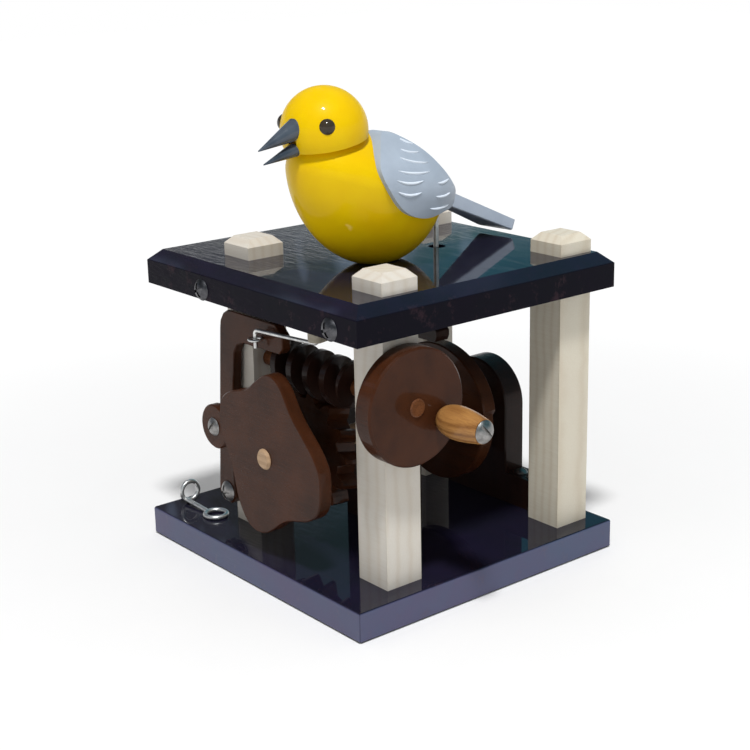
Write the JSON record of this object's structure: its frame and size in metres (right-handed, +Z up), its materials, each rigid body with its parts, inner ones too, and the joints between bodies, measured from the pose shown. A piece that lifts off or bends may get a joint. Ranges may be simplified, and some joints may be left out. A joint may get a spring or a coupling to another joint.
{
  "type": "wooden crank automaton",
  "caption": "Hand cranked wooden automaton: a worm drive under the table turns cams whose levers turn and lift a carved bird that stands on top.",
  "frame": {"origin": "middle of the base plate's underside", "axes": "+X along the crank shaft towards the crank, -Y towards the side of the front cam and lever, +Z up"},
  "size_m": [0.189, 0.1538, 0.2215],
  "materials": {
    "navy_lacquer": "high gloss lacquer",
    "pale_maple": "satin varnish, straight grain",
    "brown_varnish": "gloss varnish",
    "dark_varnish": "gloss varnish",
    "maple_handle": "satin varnish",
    "bare_dowel": "bare, lightly sealed",
    "steel": "zinc plated",
    "yellow_gloss": "gloss paint",
    "grey_gloss": "gloss paint",
    "dark_grey_gloss": "gloss paint",
    "eye_brown": "gloss paint"
  },
  "bodies": {
    "frame": {"base_plate": "navy_lacquer", "top_plate": "navy_lacquer", "near_post": "pale_maple", "right_post": "pale_maple", "left_post": "pale_maple", "far_post": "pale_maple", "base_screws": "steel", "top_plate_screws": "steel", "middle_bearing_block": "dark_varnish", "rear_bearing_block": "dark_varnish", "bearing_block_screws": "steel", "lever_washer": "steel", "lever_pivot_screw": "steel", "rocker_spacer": "bare_dowel", "rocker_pivot_screw": "steel", "base_wire_link": "steel"},
    "crank": {"crank_wheel": "brown_varnish", "crank_shaft": "bare_dowel", "worm": "brown_varnish", "handle_screw": "steel"},
    "handle": {"crank_handle": "maple_handle"},
    "cam_train": {"cam_shaft": "bare_dowel", "front_cam": "brown_varnish", "rear_cam": "brown_varnish", "worm_wheel": "dark_varnish"},
    "lever": {"front_lever": "brown_varnish", "roller_screw": "steel", "lever_eye": "steel"},
    "roller": {"roller": "brown_varnish"},
    "bird": {"spindle": "bare_dowel", "spindle_collar": "bare_dowel", "steering_arm": "bare_dowel", "bird_body": "yellow_gloss", "bird_head": "yellow_gloss", "neck_pin": "bare_dowel", "upper_beak": "dark_grey_gloss", "lower_beak": "dark_grey_gloss", "left_eye": "eye_brown", "right_eye": "eye_brown", "left_wing": "grey_gloss", "right_wing": "grey_gloss", "tail_pin": "steel"},
    "link": {"link_wire": "steel"},
    "tail": {"tail": "grey_gloss"},
    "rocker": {"rear_rocker": "dark_varnish"},
    "push_rod": {"push_rod": "steel"}
  },
  "joints": [
    {"name": "crank_turn", "type": "hinge", "parent": "frame", "child": "crank", "pos_m": [0.0765, -0.0435, 0.0957], "axis": [1, 0, 0], "continuous": true},
    {"name": "handle_spin", "type": "hinge", "parent": "crank", "child": "handle", "pos_m": [0.0935, -0.0295, 0.0884], "axis": [1, 0, 0], "continuous": true},
    {"name": "cam_turn", "type": "hinge", "parent": "frame", "child": "cam_train", "pos_m": [0.0096, 0, 0.0611], "axis": [0, 1, 0], "continuous": true},
    {"name": "bird_turn", "type": "hinge", "parent": "frame", "child": "bird", "pos_m": [0.0182, -0.0137, 0.134], "axis": [0, 0, 1], "range_deg": [-7, 7]},
    {"name": "lever_swing", "type": "hinge", "parent": "frame", "child": "lever", "pos_m": [-0.0384, -0.05705, 0.0293], "axis": [0, 1, 0], "range_deg": [-4, 4]},
    {"name": "link_swing", "type": "hinge", "parent": "bird", "child": "link", "pos_m": [0.0322, -0.0569, 0.1193], "axis": [0, 0, 1], "range_deg": [-4.5, 4.5]},
    {"name": "roller_spin", "type": "hinge", "parent": "lever", "child": "roller", "pos_m": [-0.0404, -0.062, 0.062], "axis": [0, 1, 0], "continuous": true},
    {"name": "rocker_swing", "type": "hinge", "parent": "frame", "child": "rocker", "pos_m": [-0.0315, 0.0276, 0.1006], "axis": [0, -1, 0], "range_deg": [0, 3.5]},
    {"name": "push_rod_lift", "type": "slide", "parent": "frame", "child": "push_rod", "axis": [0, 0, 1], "range_m": [0, 0.0029]},
    {"name": "tail_lift", "type": "hinge", "parent": "bird", "child": "tail", "pos_m": [0.01517, 0.01514, 0.1712], "axis": [0.9945, 0.1045, 0], "range_deg": [0, 12]}
  ],
  "couplings": [
    {"joint": "cam_turn", "follows": "crank_turn", "ratio": -0.071429},
    {"joint": "lever_swing", "follows": "bird_turn", "ratio": 0.556},
    {"joint": "link_swing", "follows": "bird_turn", "ratio": -0.6237},
    {"joint": "push_rod_lift", "follows": "rocker_swing", "m_per_rad": 0.0459},
    {"joint": "tail_lift", "follows": "rocker_swing", "ratio": 3.4}
  ]
}
